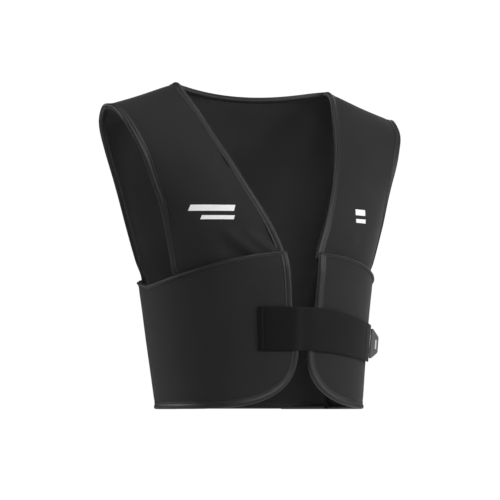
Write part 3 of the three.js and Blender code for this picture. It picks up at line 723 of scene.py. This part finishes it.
# A cloth with a weave that follows the piece's own map in metres, and a nap and soft wear all over
def clothShader(name, look):
    material = bpy.data.materials.new(name)
    material.use_nodes = True
    tree = material.node_tree
    surface = tree.nodes["Principled BSDF"]
    surface.inputs["Roughness"].default_value = look["roughness"]
    surface.inputs["Sheen Weight"].default_value = look["sheen"]
    surface.inputs["Sheen Roughness"].default_value = look["sheenRoughness"]
    surface.inputs["Specular IOR Level"].default_value = look["specular"]
    place = tree.nodes.new("ShaderNodeTexCoord")
    spot = tree.nodes.new("ShaderNodeSeparateXYZ")
    tree.links.new(place.outputs["UV"], spot.inputs[0])
    waves = []
    for socket, pitch in zip(spot.outputs, (look["thread"], look["row"])):
        waves.append(mathNode(tree, "SINE", mathNode(tree, "MULTIPLY", socket, 2 * math.pi / (pitch * mm))))
    if look["crossed"]:
        weave = mathNode(tree, "MULTIPLY", *waves)
    else:
        weave = mathNode(tree, "MULTIPLY_ADD", waves[1], look["rowShare"], waves[0])
    noises = []
    for scale, detail in zip((look["napScale"], look["patchScale"]), clothNoise["details"]):
        noise = tree.nodes.new("ShaderNodeTexNoise")
        noise.inputs["Scale"].default_value = scale
        noise.inputs["Detail"].default_value = detail
        tree.links.new(place.outputs["Object"], noise.inputs["Vector"])
        noises.append(noise.outputs["Fac"])
    nap, patches = noises
    relief = mathNode(tree, "ADD", mathNode(tree, "MULTIPLY", weave, look["weaveShare"]), nap)
    bump = tree.nodes.new("ShaderNodeBump")
    bump.inputs["Strength"].default_value = look["bump"]
    bump.inputs["Distance"].default_value = look["depth"] * mm
    tree.links.new(relief, bump.inputs["Height"])
    tree.links.new(bump.outputs["Normal"], surface.inputs["Normal"])
    tone = tree.nodes.new("ShaderNodeValToRGB")
    changes = (-look["wear"], look["wear"])
    for stop, position, change in zip(tone.color_ramp.elements, clothNoise["toneStops"], changes):
        stop.position = position
        stop.color = (*[value * (1 + change) for value in look["color"]], 1)
    tree.links.new(patches, tone.inputs["Fac"])
    color = tone.outputs["Color"]
    if look["paintedLightBy"]:      # painted light: the colour is scaled lighter or darker where the piece's own attribute is 0
        first = tree.nodes.new("ShaderNodeAttribute")
        first.attribute_name = look["paintedLightBy"]
        share = mathNode(tree, "MULTIPLY_ADD", first.outputs["Fac"], 1 - look["shade"], look["shade"])
        scaled = tree.nodes.new("ShaderNodeVectorMath")
        scaled.operation = "SCALE"
        tree.links.new(color, scaled.inputs[0])
        tree.links.new(share, scaled.inputs["Scale"])
        color = scaled.outputs[0]
    tree.links.new(color, surface.inputs["Base Color"])
    return material


def mixedColor(tree, mask, first, second, target):       # first is a colour or a socket
    mix = tree.nodes.new("ShaderNodeMix")
    mix.data_type = "RGBA"
    sockets = [socket for socket in mix.inputs if socket.type == "RGBA"]
    tree.links.new(mask, mix.inputs["Factor"])
    if isinstance(first, tuple):
        sockets[0].default_value = (*first, 1)
    else:
        tree.links.new(first, sockets[0])
    sockets[1].default_value = (*second, 1)
    tree.links.new(next(socket for socket in mix.outputs if socket.type == "RGBA"), target)


def printedOn(material, name, bars):     # the same cloth with plain pale bars
    material = material.copy()
    material.name = name
    tree = material.node_tree
    surface = tree.nodes["Principled BSDF"]
    place = tree.nodes.new("ShaderNodeTexCoord")
    spot = tree.nodes.new("ShaderNodeSeparateXYZ")
    tree.links.new(place.outputs["Object"], spot.inputs[0])
    outer = tree.nodes.new("ShaderNodeAttribute")
    outer.attribute_name = "outerFace"
    total = None
    for bar in bars:
        x = mathNode(tree, "SUBTRACT", spot.outputs["X"], bar["x"] * mm)
        z = mathNode(tree, "SUBTRACT", spot.outputs["Z"], bar["z"] * mm)
        x = mathNode(tree, "SUBTRACT", x, mathNode(tree, "MULTIPLY", z, bar["slant"]))
        wide = mathNode(tree, "DIVIDE", mathNode(tree, "ABSOLUTE", x), bar["width"] / 2 * mm)
        high = mathNode(tree, "DIVIDE", mathNode(tree, "ABSOLUTE", z), bar["height"] / 2 * mm)
        inside = mathNode(tree, "LESS_THAN", mathNode(tree, "MAXIMUM", wide, high), 1.0)
        total = inside if total is None else mathNode(tree, "MAXIMUM", total, inside)
    mask = mathNode(tree, "MULTIPLY", total, outer.outputs["Fac"])
    link = next(link for link in tree.links if link.to_socket == surface.inputs["Base Color"])
    mixedColor(tree, mask, link.from_socket, printTone, surface.inputs["Base Color"])
    return material


fabricLook = {
    "color": (0.0125, 0.0125, 0.0133), "roughness": 0.82, "sheen": 0.1, "sheenRoughness": 0.45,
    "specular": 0.28, "thread": 1.1, "row": 1.5, "crossed": True, "weaveShare": 0.3, "napScale": 900,
    # painted fill light: the inner face is drawn 1.8 times lighter, for the shaded inside of the panels
    "patchScale": 14, "bump": 0.35, "depth": 0.25, "wear": 0.09, "paintedLightBy": "outerFace", "shade": 1.8,
}
tapeLook = {
    "color": (0.0095, 0.0095, 0.01), "roughness": 0.48, "sheen": 0.04, "sheenRoughness": 0.4,
    "specular": 0.4, "thread": 0.9, "row": 1.2, "crossed": True, "weaveShare": 0.4, "napScale": 1200,
    "patchScale": 40, "bump": 0.25, "depth": 0.2, "wear": 0.08, "paintedLightBy": None,
}
elasticLook = {
    "color": (0.0065, 0.0065, 0.007), "roughness": 0.85, "sheen": 0.05, "sheenRoughness": 0.5,
    "specular": 0.2, "thread": 2.2, "row": 1.0, "crossed": False, "rowShare": 0.4, "weaveShare": 0.3,
    "napScale": 1400, "patchScale": 30, "bump": 0.3, "depth": 0.25, "wear": 0.12,
    # painted shade: the strap's first stretch, up to the seam distance, is drawn at a quarter of its colour
    "paintedLightBy": "clearOfPaintedShade", "shade": 0.25,
}
fabric = clothShader("padded face cloth", fabricLook)
tape = clothShader("stretch binding", tapeLook)
elastic = clothShader("closure elastic", elasticLook)

printTone = (0.86, 0.86, 0.86)
# plain slanted bars, in millimetres; x and z of their middles
longBars = [
    {"x": -127, "z": -198, "slant": 0.35, "width": 60, "height": 9},
    {"x": -121, "z": -212, "slant": 0.35, "width": 44, "height": 6},
]
shortBars = [
    {"x": 118, "z": -197, "slant": 0.1, "width": 21, "height": 9},
    {"x": 117, "z": -210, "slant": 0.1, "width": 21, "height": 6},
]
fabrics = {
    "front_shoulder_right": printedOn(fabric, "face cloth with long bars", longBars),
    "front_shoulder_left": printedOn(fabric, "face cloth with short bars", shortBars),
}


def rubberShader(look):      # grey rubber with a plain pale block on its face, placed by the grip's own map
    material = bpy.data.materials.new("grip rubber")
    material.use_nodes = True
    tree = material.node_tree
    surface = tree.nodes["Principled BSDF"]
    surface.inputs["Roughness"].default_value = look["roughness"]
    surface.inputs["Specular IOR Level"].default_value = look["specular"]
    place = tree.nodes.new("ShaderNodeTexCoord")
    spot = tree.nodes.new("ShaderNodeSeparateXYZ")
    tree.links.new(place.outputs["UV"], spot.inputs[0])
    block = look["block"]
    gaps = []
    for socket, middle, size in (("X", block["along"], block["length"]), ("Y", 0, block["width"])):
        gap = mathNode(tree, "ABSOLUTE", mathNode(tree, "SUBTRACT", spot.outputs[socket], middle * mm))
        gaps.append(mathNode(tree, "LESS_THAN", gap, size / 2 * mm))
    mask = mathNode(tree, "MULTIPLY", *gaps)
    mixedColor(tree, mask, look["color"], look["pale"], surface.inputs["Base Color"])
    return material


rubber = rubberShader({
    "color": (0.085, 0.087, 0.09), "pale": (0.6, 0.6, 0.6), "roughness": 0.55, "specular": 0.4,
    "block": {"along": 16, "length": 4.5, "width": 14},
})


def dress(piece, material, node):      # its material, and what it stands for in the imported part
    piece.data.materials.clear()
    piece.data.materials.append(material)
    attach(piece, "root")
    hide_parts(node)


sides = {"right": -1, "left": 1}
base, overlap = flatLift(0), flatLift(wrapLift)
panels = {}
patch = backPatch()
taped = [armRun(side, backArmLevel, True, counts["tape"]) for side in sides.values()]
panels["back_panel"] = startPanel(
    "backPanel", patch, base, padding["full"], padding["edge"],
    [backNeckRun(counts["tape"]), *taped, patch["bottom"]], panelShape["backCell"])
for word, side in sides.items():
    patch = shoulderPatch(side)
    taped = [openingRun(side, cornerLevel, counts["tape"]),
             armRun(side, armTapedLevel, False, counts["tape"])]
    panels[f"front_shoulder_{word}"] = startPanel(
        f"frontShoulder{word.title()}", patch, base, padding["full"], padding["edge"],
        taped, panelShape["cell"])
    patch = wrapPatch(side)
    panels[f"waist_wrap_{word}"] = startPanel(
        f"waistWrap{word.title()}", patch, overlap, padding["wrapFull"], padding["wrapEdge"],
        [patch["first"], patch["bottom"], patch["top"]], panelShape["cell"])
print("panels laid out")
puffPanels(list(panels.values()))
print("panels puffed")
for node, panel in panels.items():
    dress(finishPanel(panel, folds[node]), fabrics.get(node, fabric), node)
print("panels finished")


def tapeRuns():      # each tape's run, lift, width, padding's edge, and the side that it opens to
    count, wide, narrow = counts["tape"], tapeShape["width"], tapeShape["narrow"]
    armFront = (waist["sideHeight"] - tapeShape["armFrontUnder"]) / height
    armBack = (waist["sideHeight"] - tapeShape["armBackUnder"]) / height
    neckEnd = cornerLevel - tapeShape["neckUnder"] / height
    right, left = [openingRun(side, neckEnd, count) for side in (-1, 1)]
    neck = joinedSpots(reversedSpots(right), overRidge(backNeckRun(counts["neckTape"])), left)
    hem = levelRun(2 * math.pi - waist["backSideTurn"], waist["backSideTurn"], hemLevel, count)
    runs = {
        "neck_binding": (neck, base, wide, padding["edge"], 1),
        "back_hem_binding": (hem, base, wide, padding["edge"], -1),
    }
    for word, side in sides.items():
        front, rear = armRun(side, armFront, False, count), armRun(side, armBack, True, count)
        arm = joinedSpots(reversedSpots(front), overRidge(rear))
        edge = joinedSpots(
            wrapFrontRun(side, counts["wrapEdge"]), spacedSpots(cornerCurve(side), counts["wrapEdge"]),
            levelRun(hemStart(side), side * waist["rearTurn"], hemLevel, count))
        runs[f"armhole_binding_{word}"] = (arm, base, wide, padding["edge"], side)
        runs[f"wrap_edge_binding_{word}"] = (edge, overlap, wide, padding["wrapEdge"], side)
        top = wrapTopRun(side, count)
        runs[f"wrap_top_binding_{word}"] = (top, overlap, narrow, padding["wrapEdge"], -side)
    return runs


for node, (run, lift, width, edge, sign) in tapeRuns().items():
    words = node.split("_")
    name = words[0] + "".join(word.title() for word in words[1:])
    dress(tapePiece(name, run, lift, width, edge, sign), tape, node)
print("bindings made")

strap = {
    "thick": 2, "width": 64, "endWidth": 56, "height": 118, "drop": 18, "dropStart": 0.3,
    "sewnTurn": math.radians(24), "freeTurn": math.radians(60), "columns": 220, "rows": 44,
}
wrapOutside = wrapLift + max(padding["wrapFull"] / 2, padding["wrapEdge"] / 2 + foldReach)
strapLift = wrapOutside + padding["gap"] + strap["thick"] / 2


def strapSpots(along, across):
    turn = blend(-strap["sewnTurn"], strap["freeTurn"], along)
    fall = ease((along - strap["dropStart"]) / (1 - strap["dropStart"]))
    middle = strap["height"] - strap["drop"] * fall
    half = blend(strap["width"], strap["endWidth"], fall) / 2
    return turn, archAt((middle + half * across) / height)


strapDetail = {        # millimetres; doubledFrom and doubledStep are shares of the length; seam and the fade after it end the painted shade
    "slim": 0.15, "edge": 1.6, "edgeDrop": 0.35, "doubledFrom": 0.84, "doubled": 0.45, "doubledStep": 0.006,
    "sag": 1.8, "sagAt": 70, "sagWidth": 11, "sagInside": 0.8, "seam": 52, "paintedShadeFade": 14,
    "ripple": 0.14, "rippleAcross": 9, "rippleAlong": 5, "ripplePace": 21,
}
sewnLines = [(1.4, 0.9, -0.7), (4.8, 1.8, 0.5), (8.2, 1.0, -0.8)]       # place, width and height of each
band, along, across = gridPiece("closureStrap", strap["columns"], strap["rows"])
turn, arch = strapSpots(along, across * 2 - 1)
middle = formPoints(turn, arch)
samples = counts["measured"]
strapMiddle = strapSpots(np.linspace(0, 1, samples), np.zeros(samples))
fromSewn = along * lengthsAlong(liftedPoints(*strapMiddle, np.full(samples, strapLift)))[-1]
fromEdge = (0.5 - abs(across - 0.5)) * strap["width"]
half = np.full(len(along), strap["thick"] / 2 - strapDetail["slim"])
half = half - strapDetail["edgeDrop"] * (1 - ease(fromEdge / strapDetail["edge"]))
pastStep = ease((along - strapDetail["doubledFrom"]) / strapDetail["doubledStep"])
half = half + strapDetail["doubled"] * pastStep
outside = half + sum(high * np.exp(-((fromSewn - place) / width) ** 2) for place, width, high in sewnLines)
ripples = np.sin(across * strapDetail["rippleAcross"] + along * strapDetail["rippleAlong"])
outside = outside + strapDetail["ripple"] * ripples * np.sin(along * strapDetail["ripplePace"])
sag = strapDetail["sag"] * np.exp(-((fromSewn - strapDetail["sagAt"]) / strapDetail["sagWidth"]) ** 2)
outside = outside - sag
half = half + sag * strapDetail["sagInside"]
writePoints(band, middle * mm)
applied(band, "SOLIDIFY", thickness=mm, offset=0)
normals = formNormals(turn, arch)
outer = liftedPoints(turn, arch, strapLift + outside)
inner = liftedPoints(turn, arch, strapLift - half)
writePoints(band, np.concatenate([outer, inner]) * mm)
writeMap(band, np.tile(np.stack([across * strap["width"], fromSewn], axis=1), (2, 1)))
tidyNormals(band)
# painted shade where the strap curves over the wrap: darker up to the seam distance, its own colour past it
clearOfPaintedShade = ease((fromSewn - strapDetail["seam"]) / strapDetail["paintedShadeFade"])
band.data.attributes.new("clearOfPaintedShade", "FLOAT", "POINT").data.foreach_set("value", np.tile(clearOfPaintedShade, 2))
dress(band, elastic, "closure_strap")

grip = {
    "length": 24, "base": 48, "tip": 24, "thick": 3, "overlap": 6, "flare": math.radians(25), "corner": 4,
    "cornerPower": 6, "cornerShare": 0.9, "rim": 2.2, "sunk": 0.5, "bar": 3.2, "barAt": 7, "barHigh": 0.28,
    "barSlope": 0.6, "slope": 0.8, "sunkSlope": 1.0, "round": 0.7, "columns": 48, "rows": 80,
}


def gripFrame():     # from the strap's end onwards, turned a little away from the wrap
    end, arch = strapSpots(np.array([1.0]), np.array([0.0]))
    normal = formNormals(end, arch)[0]
    upper, lower = [liftedPoints(*strapSpots(np.array([1.0]), np.array([way])), [strapLift])[0]
                    for way in (1.0, -1.0)]
    up = unit(upper - lower)
    onwards = unit(np.cross(up, normal))
    out = onwards * math.cos(grip["flare"]) + normal * math.sin(grip["flare"])
    face = np.cross(out, up)
    seat = liftedPoints(end, arch, [strapLift + strap["thick"] / 2 + padding["gap"]])[0]
    seat = seat - onwards * grip["overlap"]
    return Matrix([list(row) for row in np.stack([out, up, face], axis=1) * mm]).to_4x4(), Vector(seat * mm)


tab, u, v = gridPiece("pullTab", grip["columns"], grip["rows"])
v = v * 2 - 1
halfWidth = blend(grip["base"], grip["tip"], u) / 2
along, side = u * grip["length"], v * halfWidth
for end in (0.0, grip["length"]):        # the four corners, drawn in to a round
    depth = np.clip(1 - abs(along - end) / grip["corner"], 0, 1)
    drawn = grip["corner"] * grip["cornerShare"] * (1 - np.sqrt(1 - depth ** 2))
    side = side - np.sign(v) * abs(v) ** grip["cornerPower"] * drawn
fromRim = np.minimum(np.minimum(along, grip["length"] - along), (1 - abs(v)) * halfWidth)
rounded = grip["round"] * (1 - np.sqrt(1 - np.clip(1 - fromRim / grip["round"], 0, 1) ** 2))
pastBar = ease((along - grip["bar"] - grip["barAt"]) / grip["sunkSlope"])
sunk = grip["sunk"] * ease((fromRim - grip["rim"]) / grip["slope"]) * pastBar
onBar = ease((grip["bar"] / 2 - abs(along - grip["barAt"])) / grip["barSlope"])
top = grip["thick"] - rounded - sunk + grip["barHigh"] * onBar * ease(fromRim / grip["slope"])
writePoints(tab, np.stack([along, side, np.zeros(len(along))], axis=1) * mm)
applied(tab, "SOLIDIFY", thickness=mm, offset=0)
faces = [np.stack([along, side, heightOver], axis=1) for heightOver in (top, rounded)]
writePoints(tab, np.concatenate(faces))
axes, seat = gripFrame()
axes.translation = seat
tab.data.transform(axes)
tidyNormals(tab)
writeMap(tab, np.tile(np.stack([along, side], axis=1), (2, 1)))
dress(tab, rubber, "pull_tab")
print("strap and grip made")


# Surroundings: all white to the camera, and dimmer as a source of light
def seenWhite(tree, shaderOut, kind, target):
    path = tree.nodes.new("ShaderNodeLightPath")
    bright = tree.nodes.new(kind)
    bright.inputs["Color"].default_value = (1, 1, 1, 1)
    bright.inputs["Strength"].default_value = studio["seen"]
    mix = tree.nodes.new("ShaderNodeMixShader")
    tree.links.new(path.outputs["Is Camera Ray"], mix.inputs[0])
    tree.links.new(shaderOut, mix.inputs[1])
    tree.links.new(bright.outputs[0], mix.inputs[2])
    tree.links.new(mix.outputs[0], target)


studio = {       # metres; ambient is the world's light, and seen is the white that the camera sees
    "floorHeight": -0.95, "floorSize": 60, "floorTone": 0.8, "floorRoughness": 0.9,
    "ambient": 0.03, "seen": 1.02, "lightAim": (0, 0, -0.25),
}
white = bpy.data.materials.new("studio floor")
white.use_nodes = True
tree = white.node_tree
surface = tree.nodes["Principled BSDF"]
surface.inputs["Base Color"].default_value = (*[studio["floorTone"]] * 3, 1)
surface.inputs["Roughness"].default_value = studio["floorRoughness"]
seenWhite(tree, surface.outputs[0], "ShaderNodeEmission", tree.nodes["Material Output"].inputs[0])
bpy.ops.mesh.primitive_plane_add(size=studio["floorSize"], location=(0, 0, studio["floorHeight"]))
floor = bpy.context.object
floor.name = "studioFloor"
floor.data.materials.append(white)

world = bpy.data.worlds.new("studio")
bpy.context.scene.world = world
world.use_nodes = True
tree = world.node_tree
glow = tree.nodes["Background"]
glow.inputs["Color"].default_value = (1, 1, 1, 1)
glow.inputs["Strength"].default_value = studio["ambient"]
seenWhite(tree, glow.outputs[0], "ShaderNodeBackground", tree.nodes["World Output"].inputs[0])
bpy.context.scene.view_settings.view_transform = "Standard"

cameraSpot = {       # millimetres and degrees; the picture is 500 pixels wide
    "eye": (-1776.7, -3458.4, -490), "turn": 27.141, "pitch": 3.54,
    "focalPixels": 2563.3, "picturePixels": 500, "sensor": 36, "far": 100,
}
tilt, heading = math.radians(90 + cameraSpot["pitch"]), -math.radians(cameraSpot["turn"])
bpy.ops.object.camera_add(location=[value * mm for value in cameraSpot["eye"]], rotation=(tilt, 0, heading))
camera = bpy.context.object
camera.data.sensor_width = cameraSpot["sensor"]
camera.data.lens = cameraSpot["focalPixels"] * cameraSpot["sensor"] / cameraSpot["picturePixels"]
camera.data.clip_end = cameraSpot["far"]
bpy.context.scene.camera = camera

lights = {     # place, size and strength of each soft light, in metres and watts
    "front high": ((-0.6, -3.2, 1.8), 1.6, 70),
    "front left": ((1.8, -2.6, 0.6), 1.2, 30),
    "left side": ((2.6, -1.2, 0.4), 1.6, 20),
    "right side": ((-2.6, 0.4, 0.5), 1.6, 4),
    "top": ((0, -0.4, 2.4), 2.0, 22),
    "back left": ((2.2, 1.6, 1.0), 1.6, 14),
    "back right": ((-2.2, 2.0, 1.0), 1.6, 40),
}
for word, (place, size, power) in lights.items():
    bpy.ops.object.light_add(type="AREA", location=place)
    lamp = bpy.context.object
    lamp.name = word
    lamp.data.size = size
    lamp.data.energy = power
    lamp.rotation_euler = (Vector(studio["lightAim"]) - lamp.location).to_track_quat("-Z", "Y").to_euler()
print("studio set")
